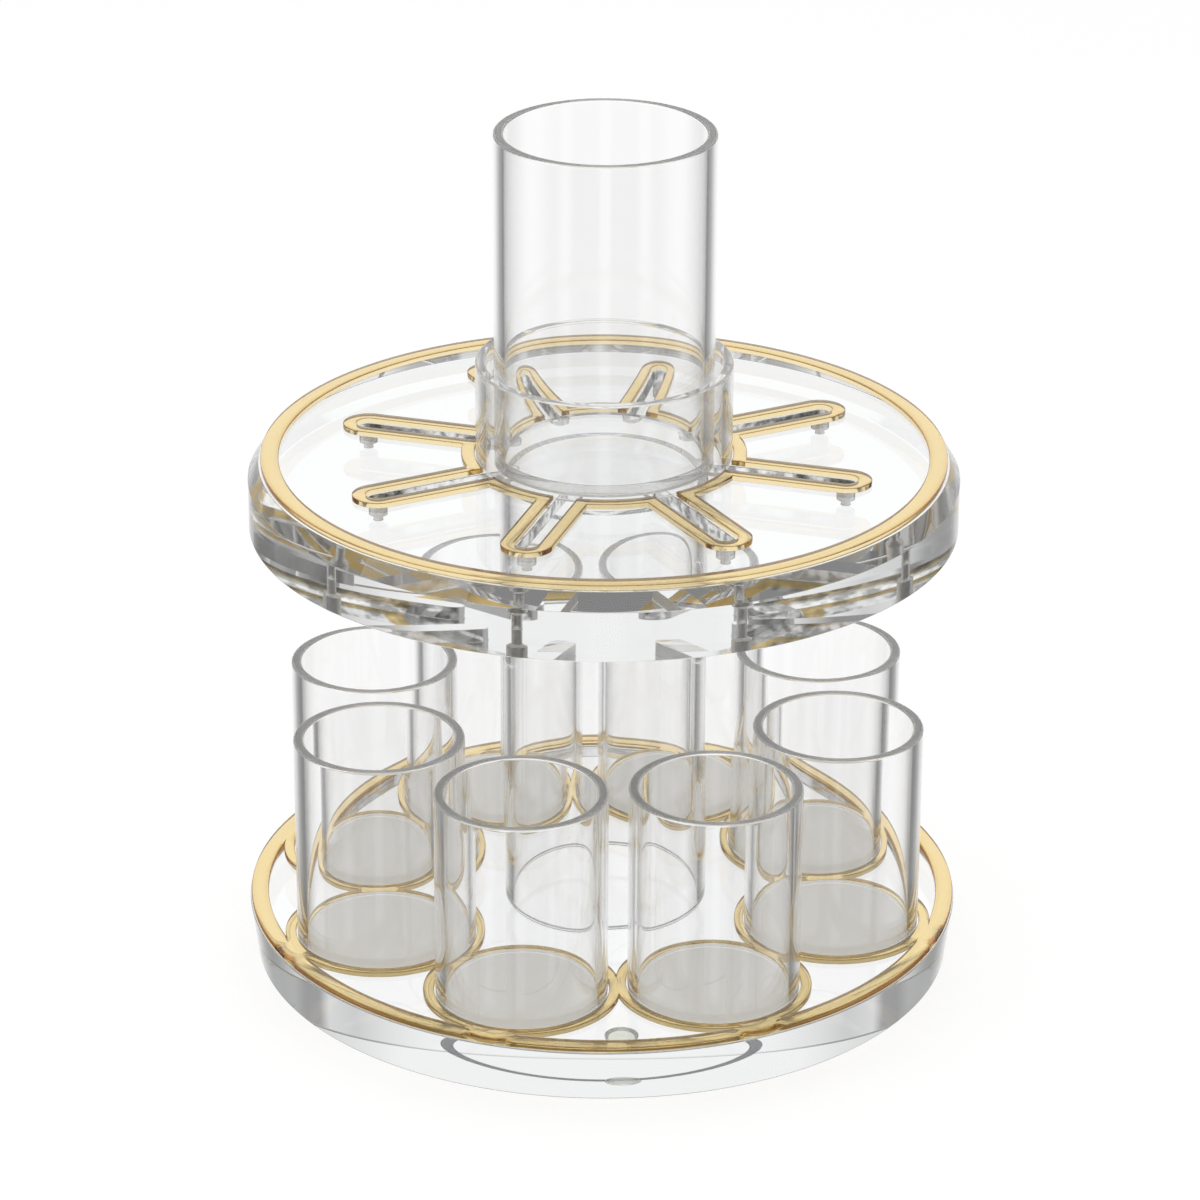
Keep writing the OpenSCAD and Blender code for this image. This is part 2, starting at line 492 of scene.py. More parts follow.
class Shell:
    """A closed surface gathered patch by patch, and welded into one mesh."""

    def __init__(self) -> None:
        """Starts with no patches."""
        self.points: list[Array] = []
        self.normals: list[Array] = []
        self.faces: list[Array] = []
        self.paint: list[Array] = []
        self.count = 0

    def add_points(self, points: Array, normals: Array) -> Array:
        """Adds points with their normals.

        Args:
            points: Points in millimetres, with x, y and z in the last axis.
            normals: Unit normals of the same shape, or one for all of them.

        Returns:
            The index of each point, in the points' own grid.
        """
        flat = points.reshape(-1, 3)
        self.points.append(flat)
        self.normals.append(np.broadcast_to(normals, points.shape).reshape(-1, 3))
        index = self.count + np.arange(len(flat)).reshape(points.shape[:-1])
        self.count += len(flat)
        return index

    def add_grid(self, points: Array, normals: Array, closed_section: bool, paint: Paint = 0) -> None:
        """Adds a grid of quads that goes all the way round along its first axis.

        Args:
            points: Grid of points, path first and section second.
            normals: Normals of the same shape.
            closed_section: True if the section's last point joins its first.
            paint: Material slot of every quad, or of the quads after each point of the section.
        """
        a = self.add_points(points, normals)
        b = np.roll(a, -1, axis=0)
        if closed_section:
            quads = np.stack([a, b, np.roll(b, -1, axis=1), np.roll(a, -1, axis=1)], -1)
        else:
            quads = np.stack([a[:, :-1], b[:, :-1], b[:, 1:], a[:, 1:]], -1)
        self.faces.append(quads.reshape(-1, 4))
        self.paint.append(np.broadcast_to(paint, quads.shape[:2]).ravel())

    def add_carried(self, line: Array, out: Array, section: Section, closed: bool = False,
                    paint: Paint = 0) -> Array:
        """Carries an upright section along a flat line that comes back to its start.

        A point (d, z) of the section goes to the place d sideways of each point of the line, at height z,
        and its normal turns with it.

        Args:
            line: Points of the line.
            out: Unit sideways direction at each of them.
            section: Points (d, z) and their normals.
            closed: True if the section is a closed loop.
            paint: Material slot of every quad, or of the quads after each point of the section.

        Returns:
            The grid of points, line first.
        """
        (across, height), (aside, up) = section[0].T, section[1].T
        points = np.empty((len(out), len(across), 3))
        points[..., :2] = line[:, None] + out[:, None] * across[None, :, None]
        points[..., 2] = height
        normals = np.empty_like(points)
        normals[..., :2] = out[:, None] * aside[None, :, None]
        normals[..., 2] = up
        self.add_grid(points, normals, closed, paint)
        return points

    def add_revolved(self, section: Section, steps: int, centre: Point = (0, 0), closed: bool = False,
                     paint: Paint = 0) -> Array:
        """Carries a section of radius and height round an upright axis at even angles, like add_carried."""
        out = circle(1, steps)
        return self.add_carried(np.broadcast_to(centre, out.shape), out, section, closed, paint)

    def add_disc(self, section: Section, steps: int, centre: Point = (0, 0), paint: Paint = 0,
                 under: int = 0) -> None:
        """Carries an open section round an upright axis, and closes it with a flat cap below and above.

        Args:
            section: Points (r, z) and their normals, from below upwards.
            steps: Number of angles.
            centre: Place of the axis.
            paint: Material slot of every quad, or of the quads after each point of the section.
            under: Material slot of the lower cap.
        """
        grid = self.add_revolved(section, steps, centre, paint=paint)
        self.add_cap([grid[:, 0, :2]], grid[0, 0, 2], up=False, paint=under)
        self.add_cap([grid[:, -1, :2]], grid[0, -1, 2], up=True)

    def add_cap(self, loops: list[Array], height: float, up: bool, paint: int = 0) -> None:
        """Fills a flat region between an outer loop and any loops inside it, as triangles.

        Args:
            loops: Flat outlines, the outer one first.
            height: Height of the region.
            up: True if it faces upwards.
            paint: Material slot of its triangles.
        """
        flat = np.concatenate(loops)
        starts = np.cumsum([0] + [len(loop) for loop in loops])
        rings = [list(range(a, b)) for a, b in zip(starts[:-1], starts[1:])]
        _, _, faces, sources, _, _ = delaunay_2d_cdt(
            [Vector(p) for p in flat.tolist()], [], rings, TRIANGLES_WITHOUT_HOLES, MERGE_DISTANCE)
        own = np.array([source[0] for source in sources])
        points = np.column_stack([flat, np.full(len(flat), height)])
        index = self.add_points(points, np.array([0.0, 0.0, 1.0 if up else -1.0]))
        self.faces.append(index[own[np.array(faces)]])
        self.paint.append(np.full(len(faces), paint))

    def outward(self, faces: Array, points: Array, normals: Array) -> Array:
        """Turns round the faces whose winding goes against their points' normals.

        Args:
            faces: Point indices of each face.
            points: All points.
            normals: All normals.

        Returns:
            The faces, all wound outwards.
        """
        corner = points[faces]
        wound = np.cross(corner[:, 1] - corner[:, 0], corner[:, 2] - corner[:, 0])
        against = (wound * normals[faces].sum(1)).sum(1) < 0
        return np.where(against[:, None], faces[:, ::-1], faces)

    def mesh(self, name: str, shading: Shading) -> bpy.types.Mesh:
        """Welds the patches where their points meet, and writes them as one mesh in metres.

        Args:
            name: Name of the mesh.
            shading: Where its normals come from.

        Returns:
            The mesh.
        """
        points, normals = np.concatenate(self.points), np.concatenate(self.normals)
        _, first, weld = np.unique(
            points.round(WELD_DECIMALS), axis=0, return_index=True, return_inverse=True)
        points, normals, weld = points[first], normals[first], weld.ravel()
        faces = []
        for patch in self.faces:
            faces += self.outward(weld[patch], points, normals).tolist()
        mesh = bpy.data.meshes.new(name)
        mesh.from_pydata((points * MM).tolist(), [], faces)
        mesh.polygons.foreach_set("material_index", np.concatenate(self.paint).astype(np.int32))
        mesh.shade_smooth()
        if shading is Shading.EXACT:
            mesh.normals_split_custom_set_from_vertices(normals.tolist())
        else:
            mesh.set_sharp_from_angle(angle=SMOOTH_ANGLE)
        mesh.validate()
        return mesh


def place_piece(shell: Shell, node: str, body: str, slot: Slot, materials: list[Material],
                shading: Shading = Shading.EXACT) -> None:
    """Puts a shell into the scene as the piece that stands for a node of the construction.

    Args:
        shell: The piece's surface, already in place.
        node: Name of the node that it stands for.
        body: Name of the body that it moves with.
        slot: Material slot of the record.
        materials: Its materials, in slot order.
        shading: Where its normals come from.
    """
    mesh = shell.mesh(node, shading)
    piece = bpy.data.objects.new(f"{node}_piece", mesh)
    bpy.context.scene.collection.objects.link(piece)
    for material in materials:
        mesh.materials.append(material)
    # Clear acrylic lets light through, so only the gold throws a shadow.
    if slot is not Slot.GOLD:
        piece.visible_shadow = piece.visible_diffuse = False
    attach(piece, body)
    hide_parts(node)
    LOG.info("%s: %d faces, rides on %s", piece.name, len(mesh.polygons), body)


def span(node: str) -> tuple[Array, Array]:
    """Lowest and highest corner of a node of the construction, in millimetres."""
    low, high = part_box(node)
    return np.array(low) / MM, np.array(high) / MM


@dataclass(frozen=True)
class Finishes:
    """The materials of the whole fountain."""

    cast: Material
    tube: Material
    frosted: Material
    bumper: Material
    sawn: Material
    milled: Material
    drilled: Material
    # Painted shade on the column's cemented foot.
    cement: Material
    gold: list[Material]

    @classmethod
    def make(cls) -> "Finishes":
        """Builds every finish once.

        Returns:
            All of the finishes.
        """
        return cls(
            cast=CAST.material(), tube=TUBE.material(), frosted=FROSTED.material(), bumper=BUMPER.material(),
            sawn=SAWN.material(), milled=MILLED_AND_PAINTED_LIGHT.material(), drilled=DRILLED_AND_SHADE.material(),
            cement=CementedJointShade().material(), gold=[finish.material() for finish in GOLD])


@dataclass(frozen=True)
class Fits:
    """Small gaps and rounded edges that every sub-assembly shares, in millimetres."""

    air_gap: float = 0.05
    cement: float = 0.05
    disc_round: float = 0.4
    rim_round: float = 0.6
    foot_round: float = 0.15
    column_round: float = 0.45
    sheet_round: float = 0.18
    small_round: float = 0.05
    film: float = 0.1
    film_overlap: float = 0.02


@dataclass
class ClearTube:
    """An upright tube, cut square below, with a rounded rim if it is open above."""

    node: str
    body: str
    kind: TubeKind
    fits: Fits
    steps: int = 192
    wall: float = 3.0

    def build(self, finishes: Finishes) -> None:
        """Builds the tube in its node's place, a hair above what it stands on or sunk into its cement.

        Args:
            finishes: The fountain's materials.
        """
        low, high = span(self.node)
        centre = tuple(((low + high) / 2)[:2])
        outer = (high[0] - low[0]) / 2
        bore = outer - self.wall
        column = self.kind is TubeKind.COLUMN
        bottom = low[2] + (self.fits.air_gap if self.kind is TubeKind.CUP else -self.fits.cement)
        top = high[2] + (self.fits.cement if column else 0)
        rim = self.fits.small_round if column else self.fits.rim_round
        foot = self.fits.column_round if column else self.fits.foot_round
        section = rounded_section(
            [(bore, bottom), (outer, bottom), (outer, top), (bore, top)], [foot, foot, rim, rim], closed=True)
        per_arc = len(section[0]) // 4
        paint = np.full(len(section[0]), TubePaint.DRAWN.value)
        if self.kind is TubeKind.CUP:
            paint[[per_arc - 1, 3 * per_arc - 1]] = TubePaint.CUT_AND_SHADE.value
        elif column:
            paint[:per_arc - 1] = paint[per_arc:2 * per_arc - 1] = TubePaint.CUT_AND_SHADE.value
            paint[per_arc - 1] = TubePaint.JOINT_SHADE.value
        # On the column, cut is the dark drilled finish on both foot roundings, and the foot's face takes the
        # joint's painted shade: together a painted dark shade line.
        cut = finishes.drilled if column else finishes.sawn
        shell = Shell()
        shell.add_revolved(section, self.steps, centre, closed=True, paint=paint)
        place_piece(shell, self.node, self.body, Slot.CLEAR, [finishes.tube, cut, finishes.cement])


@dataclass
class FloorDisc:
    """A floor disc set into a cup's tube."""

    node: str
    body: str
    slot: Slot
    fits: Fits
    steps: int = 128

    def build(self, materials: list[Material]) -> None:
        """Builds the disc in the place of its node.

        Args:
            materials: Its finish above and at the edge, and any other finish below.
        """
        low, high = span(self.node)
        centre = tuple(((low + high) / 2)[:2])
        radius, bottom, top = (high[0] - low[0]) / 2, low[2] + self.fits.air_gap, high[2]
        edge = self.fits.foot_round
        section = rounded_section([(0, bottom), (radius, bottom), (radius, top), (0, top)], [edge, edge])
        shell = Shell()
        shell.add_disc(section, self.steps, centre, under=len(materials) - 1)
        place_piece(shell, self.node, self.body, self.slot, materials)


@dataclass
class Base:
    """The base disc with its gold lattice and its bumper feet."""

    fits: Fits
    cup_circle: float
    cup_angle: float
    side_lean: float = 2.0
    lattice_ring: float = 5.6
    cup_ring: float = 29.0
    cup_seat: float = 25.8
    rim_bow: float = 0.3
    edge_nudge: float = 0.01
    foot_count: int = 4
    bonded_foot: int = 3
    foot_taper: float = 0.25
    sole_round: float = 0.8
    foot_rim_round: float = 0.1
    disc_steps: int = 288
    ring_steps: int = 96
    arc_steps: int = 24
    foot_steps: int = 64
    foot_round_steps: int = 8

    def build_disc(self, finishes: Finishes) -> None:
        """Builds the clear base disc, whose side leans in towards its foot.

        Args:
            finishes: The fountain's materials.
        """
        low, high = span("base_disc")
        edge, sole = self.fits.disc_round, high[0] - self.side_lean
        section = rounded_section(
            [(0, low[2]), (sole, low[2]), (high[0], high[2]), (0, high[2])], [edge, edge])
        per_arc = len(section[0]) // 2
        paint = np.full(2 * per_arc - 1, EdgePaint.SKIN.value)
        # The lower rounded edge takes the dark drilled finish: a painted shade line.
        paint[:per_arc - 1] = EdgePaint.PAINTED_SHADE.value
        shell = Shell()
        shell.add_disc(section, self.disc_steps, paint=paint)
        place_piece(shell, "base_disc", "stand", Slot.CLEAR, [finishes.cast, finishes.drilled])

    def crossing(self, ring: float, side: int) -> float:
        """Angle about a cup's centre at which its ring crosses its neighbour's.

        The two rings cross on the line half way between the cups, at distances from the axis that the
        circle's equation gives.

        Args:
            ring: Radius of the rings.
            side: 1 for the crossing away from the axis, -1 for the one towards it.

        Returns:
            The angle in radians.
        """
        along, across = self.cup_circle * math.cos(SECTOR / 2), self.cup_circle * math.sin(SECTOR / 2)
        cross = along + side * math.sqrt(ring**2 - across**2)
        return math.atan2(cross * math.sin(SECTOR / 2), cross * math.cos(SECTOR / 2) - self.cup_circle)

    def inner_loop(self, grow: float) -> Array:
        """Outline of the middle opening: each cup ring's arc between its two crossings faces the axis.

        Args:
            grow: How far the sheet's edge is moved out from its nominal line.

        Returns:
            The closed outline's points.
        """
        ring = self.cup_ring + grow
        start = self.crossing(ring, -1)
        inward = arc(ring, TAU - start, start, self.ring_steps, (self.cup_circle, 0))[:-1]
        return np.concatenate([turned(inward, self.cup_angle + k * SECTOR) for k in range(CUP_COUNT)])

    def gap_loop(self, grow: float, outer: float) -> Array:
        """Outline of one opening between two cup rings and the outer ring, for the first pair of cups.

        A cup ring meets the outer ring where both circles' equations hold. From there the opening follows
        the cup ring to the crossing with its neighbour, the neighbour's ring out again, and the outer ring
        back.

        Args:
            grow: How far the sheet's edge is moved out from its nominal line.
            outer: Inner radius of the outer ring.

        Returns:
            The closed outline's points.
        """
        ring, rim = self.cup_ring + grow, outer - grow
        far = self.crossing(ring, 1)
        x = (self.cup_circle**2 + rim**2 - ring**2) / (2 * self.cup_circle)
        y = math.sqrt(rim**2 - x**2)
        near, leave = math.atan2(y, x - self.cup_circle), math.atan2(y, x)
        up = arc(ring, near, far, self.arc_steps, (self.cup_circle, 0))
        down = turned((up * [1, -1])[::-1], SECTOR)
        back = arc(rim, SECTOR - leave, leave, self.arc_steps)
        return turned(np.concatenate([up[:-1], down[:-1], back[:-1]]), self.cup_angle)

    def outlines(self, grow: float) -> list[Array]:
        """Every outline of the lattice: its rim, its middle opening, the cups' seats and the gaps.

        Args:
            grow: How far the sheet's edges are moved out from their nominal lines.

        Returns:
            The closed outlines, the rim first.
        """
        rim = span("base_lattice")[1][0]
        seat = turned(circle(self.cup_seat - grow, self.ring_steps, (self.cup_circle, 0)), self.cup_angle)
        gap = self.gap_loop(grow, rim + self.fits.disc_round - self.lattice_ring)
        repeats = [turned(loop, k * SECTOR) for loop in (seat, gap) for k in range(CUP_COUNT)]
        return [circle(rim + grow, self.disc_steps), self.inner_loop(grow), *repeats]

    def build_lattice(self, finishes: Finishes) -> None:
        """Builds the gold lattice: the clear sheet, and the film below it.

        On each of the two, every outline is carried up the edge through the levels, each given by how far the
        edge lies out and its height, and flat faces lie between the outlines below and above.

        Args:
            finishes: The fountain's materials.
        """
        low, high = span("base_lattice")
        bottom, top, ease = low[2] + self.fits.air_gap, high[2], self.fits.sheet_round
        bow = self.rim_bow * ease
        film = bottom + self.fits.film
        sheet = [(0.0, film - self.fits.film_overlap), (0.0, top - ease), (-bow, top - bow), (-ease, top)]
        # rim is the slot of the painted thin dark shade line on the sheet's eased upper rims.
        clear, gold, back, rim = (paint.value for paint in SheetPaint)
        sides = [moved - still for still, moved in zip(self.outlines(0.0), self.outlines(self.edge_nudge))]
        shell = Shell()
        for levels, edge_paint, under, face in (
                (sheet, [clear, rim, rim], clear, clear), ([(0.0, bottom), (0.0, film)], [gold], back, gold)):
            loops = [self.outlines(grow) for grow, _ in levels]
            heights = [height for _, height in levels]
            for rings, side in zip(zip(*loops), sides):
                grid = raised(list(rings), np.array(heights))
                normals = np.zeros_like(grid)
                normals[..., :2] = (side / np.linalg.norm(side, axis=1, keepdims=True))[:, None]
                shell.add_grid(grid, normals, closed_section=False, paint=edge_paint)
            shell.add_cap(loops[0], heights[0], up=False, paint=under)
            shell.add_cap(loops[-1], heights[-1], up=True, paint=face)
        place_piece(shell, "base_lattice", "stand", Slot.GOLD, finishes.gold, Shading.BY_ANGLE)

    def build_foot(self, number: int, finishes: Finishes) -> None:
        """Builds one bumper foot: a low cone with a rounded sole.

        Only the front foot shows in the base's side, so it is bonded, and the others keep a hair of air.

        Args:
            number: Number of the foot.
            finishes: The fountain's materials.
        """
        low, high = span(f"foot_{number}")
        centre, upper = tuple(((low + high) / 2)[:2]), (high[0] - low[0]) / 2
        sole = upper - self.foot_taper * (high[2] - low[2])
        top = high[2] + (self.fits.cement if number == self.bonded_foot else -self.fits.air_gap)
        section = rounded_section([(0, 0), (sole, 0), (upper, top), (0, top)],
                                  [self.sole_round, self.foot_rim_round], steps=self.foot_round_steps)
        paint = np.full(len(section[0]) - 1, EdgePaint.SKIN.value)
        # The foot's side takes the dark drilled finish, as painted shade.
        paint[self.foot_round_steps - 1] = EdgePaint.PAINTED_SHADE.value
        shell = Shell()
        shell.add_disc(section, self.foot_steps, centre, paint)
        place_piece(shell, f"foot_{number}", "stand", Slot.BUMPER, [finishes.bumper, finishes.drilled])

    def build(self, finishes: Finishes) -> None:
        """Builds the base's pieces.

        Args:
            finishes: The fountain's materials.
        """
        self.build_disc(finishes)
        self.build_lattice(finishes)
        for number in range(1, self.foot_count + 1):
            self.build_foot(number, finishes)


@dataclass
class UpperDisc:
    """The grooved upper disc with its gold rim ring, its channel trim and the collar of the large cup."""

    fits: Fits
    cup_circle: float
    cup_angle: float
    turn: float = math.radians(1.5)
    bevel_width: float = 3.2
    bevel_height: float = 5.0
    bevel_rounds: Point = (0.3, 0.25)
    groove_half_width: float = 2.9
    groove_depth: float = 4.0
    groove_start: float = 29.9
    well_radius: float = 2.75
    drain_radius: float = 1.4
    drain_length: float = 4.5
    drill_point: float = math.radians(118)
    cut_round: float = 0.2
    drain_round: float = 0.15
    rim_ring_width: float = 5.4
    trim_band: float = 4.0
    trim_hub: float = 38.3
    trim_slot: float = 3.6
    disc_steps: int = 288
    slot_steps: int = 24
    well_steps: int = 48
    sheet_round_steps: int = 4
    film_round_steps: int = 2

    def build_disc(self, finishes: Finishes) -> None:
        """Builds the clear disc: a bevelled rim, and in each sector a groove, a drilled well and a drain.

        Args:
            finishes: The fountain's materials.
        """
        low, high = span("top_disc")
        radius, bottom, top = high[0], low[2], high[2]
        edge, fine, cut = self.fits.disc_round, self.fits.small_round, self.cut_round
        floor = top - self.groove_depth
        cone = bottom + self.drain_length
        cone_top = cone + (self.well_radius - self.drain_radius) / math.tan(self.drill_point / 2)
        rim = rounded_section(
            [(0, bottom), (radius, bottom), (radius, top - self.bevel_height),
             (radius - self.bevel_width, top), (0, top)], [edge, *self.bevel_rounds])
        groove = rounded_section([(radius, top), (0, top), (0, floor), (-radius, floor)], [cut, fine])
        well = rounded_section(
            [(radius, floor), (self.well_radius, floor), (self.well_radius, cone_top),
             (self.drain_radius, cone), (self.drain_radius, bottom), (radius, bottom)],
            [fine, cut, cut, self.drain_round])
        shell = Shell()
        grid = shell.add_revolved(rim, self.disc_steps)
        top_loops, bottom_loops = [grid[:, -1, :2]], [grid[:, 0, :2]]
        path, sideways = slot_outline(
            self.groove_half_width, self.groove_start, self.cup_circle, self.slot_steps)
        for k in range(CUP_COUNT):
            angle = self.cup_angle + self.turn + k * SECTOR
            walls = shell.add_carried(turned(path, angle), turned(sideways, angle), groove,
                                      paint=DiscPaint.MILLED_AND_PAINTED_LIGHT.value)
            place = (self.cup_circle * math.cos(angle), self.cup_circle * math.sin(angle))
            hole = shell.add_revolved(well, self.well_steps, place, paint=DiscPaint.DRILLED_AND_SHADE.value)
            shell.add_cap([walls[:, -1, :2], hole[:, 0, :2]], floor, up=True)
            top_loops.append(walls[:, 0, :2])
            bottom_loops.append(hole[:, -1, :2])
        shell.add_cap(top_loops, top, up=True)
        shell.add_cap(bottom_loops, bottom, up=False)
        materials = [finishes.cast, finishes.milled, finishes.drilled]
        place_piece(shell, "top_disc", "stand", Slot.CLEAR, materials)

    def strips(self, low: float, high: float, bottom: float, top: float,
               outer_rim: SheetPaint) -> list[tuple[Section, Array]]:
        """Sections of a strip of gold sheet: the clear sheet with eased upper edges, and the film below it.
        The inner upper rim, and the outer one when outer_rim asks for it, carry a painted dark shade line.

        Args:
            low: Inner edge of the strip.
            high: Outer edge of the strip.
            bottom: Height of its underside.
            top: Height of its face.
            outer_rim: Paint of its outer upper rim.

        Returns:
            Each section's points and normals, with the material slot after each point.
        """
        ease, fine = self.fits.sheet_round, self.fits.film / 4
        film = bottom + self.fits.film
        seam = film - self.fits.film_overlap
        clear = [(low, seam), (high, seam), (high, top), (low, top)]
        coat = [(low, bottom), (high, bottom), (high, film), (low, film)]
        steps, film_steps = self.sheet_round_steps, self.film_round_steps
        sheet_paint = np.full(len(clear) * steps, SheetPaint.CLEAR.value)
        # The upper rims take the painted dark shade line.
        sheet_paint[2 * steps:3 * steps - 1] = outer_rim.value
        sheet_paint[3 * steps:4 * steps - 1] = SheetPaint.SHADE_LINE.value
        coat_paint = np.full(len(coat) * film_steps, SheetPaint.FILM.value)
        coat_paint[film_steps - 1] = SheetPaint.BACK.value
        return [(rounded_section(clear, [fine, fine, ease, ease], closed=True, steps=steps), sheet_paint),
                (rounded_section(coat, [fine] * len(coat), closed=True, steps=film_steps), coat_paint)]

    def build_rim_ring(self, finishes: Finishes) -> None:
        """Builds the gold ring around the disc as a revolved strip.

        Args:
            finishes: The fountain's materials.
        """
        low, high = span("rim_ring")
        shell = Shell()
        bottom = low[2] + self.fits.air_gap
        inner = high[0] - self.rim_ring_width
        for section, paint in self.strips(inner, high[0], bottom, high[2], SheetPaint.CLEAR):
            shell.add_revolved(section, self.disc_steps, closed=True, paint=paint)
        place_piece(shell, "rim_ring", "stand", Slot.GOLD, finishes.gold, Shading.BY_ANGLE)

    def build_channel_trim(self, finishes: Finishes) -> None:
        """Builds the gold band that outlines the collar and the grooves.

        The strip's section is carried along the star outline: a point at distance d from the slot's line
        lies on the star whose hub and arms are d wider.

        Args:
            finishes: The fountain's materials.
        """
        low, high = span("channel_trim")
        shell = Shell()
        bottom = low[2] - self.fits.cement
        for section, paint in self.strips(0.0, self.trim_band, bottom, high[2], SheetPaint.SHADE_LINE):
            across, height = section[0].T
            stars = [star_outline(self.trim_hub + d, self.trim_slot + d, self.cup_circle,
                                  self.cup_angle + self.turn, self.slot_steps) for d in across.tolist()]
            points = raised(stars, height)
            outward = points - points.mean(axis=1, keepdims=True)
            shell.add_grid(points, outward, closed_section=True, paint=paint)
        place_piece(shell, "channel_trim", "stand", Slot.GOLD, finishes.gold, Shading.BY_ANGLE)

    def build(self, finishes: Finishes) -> None:
        """Builds the upper disc's pieces.

        Args:
            finishes: The fountain's materials.
        """
        self.build_disc(finishes)
        self.build_rim_ring(finishes)
        self.build_channel_trim(finishes)
        ClearTube("well_collar", "stand", TubeKind.COLLAR, self.fits).build(finishes)


@dataclass
class Cup:
    """A cup: an open tube with a floor disc set into it."""

    name: str
    floor_slot: Slot
    fits: Fits
    tube_steps: int

    def build(self, finishes: Finishes) -> None:
        """Builds the cup's tube and floor, which lift off together.

        Args:
            finishes: The fountain's materials.
        """
        ClearTube(f"{self.name}_tube", self.name, TubeKind.CUP, self.fits, self.tube_steps).build(finishes)
        materials = [finishes.cast, finishes.frosted] if self.floor_slot is Slot.FROSTED else [finishes.cast]
        FloorDisc(f"{self.name}_floor", self.name, self.floor_slot, self.fits).build(materials)


def aimed(place: tuple[float, float, float], aim_height: float) -> Matrix:
    """Pose of a camera or lamp that faces the upright axis.

    Args:
        place: Its place, in millimetres.
        aim_height: Height on the upright axis that it faces, in millimetres.

    Returns:
        The pose, in metres.
    """
    spot = Vector(place) * MM
    way = Vector((0, 0, aim_height)) * MM - spot
    return Matrix.Translation(spot) @ way.to_track_quat("-Z", "Y").to_matrix().to_4x4()


@dataclass(frozen=True)
class CardBand:
    """Grey cards that stand round the fountain between two heights.

    A height is the sine of the elevation, seen from the fountain. The stops give the brightness by the
    angle in degrees to either side of the camera's own direction.
    """

    low: float
    high: float
    stops: Stops
    blur: float = 0.02

    def window(self) -> Stops:
        """Stops over the height that are 1 inside the band and 0 outside it."""
        return ((self.low - self.blur, 0.0), (self.low + self.blur, 1.0), (self.high - self.blur, 1.0),
                (self.high + self.blur, 0.0))


@dataclass(frozen=True)
class Softbox:
    """A square soft lamp that faces the fountain and shows neither to the camera nor through the acrylic."""

    name: str
    place: tuple[float, float, float]
    size: float
    power: float

    def build(self, aim_height: float) -> None:
        """Hangs the lamp.

        Args:
            aim_height: Height on the upright axis that it faces, in millimetres.
        """
        data = bpy.data.lights.new(self.name, "AREA")
        data.size = self.size * MM
        data.energy = self.power
        lamp = bpy.data.objects.new(self.name, data)
        bpy.context.scene.collection.objects.link(lamp)
        lamp.matrix_world = aimed(self.place, aim_height)
        lamp.visible_camera = lamp.visible_transmission = False


UPPER_FRONT: Stops = (
    (0, 0.9), (22, 0.9), (30, 0.75), (36, 0.6), (43, 0.7), (46, 0.28), (51, 0.28), (56, 0.42))


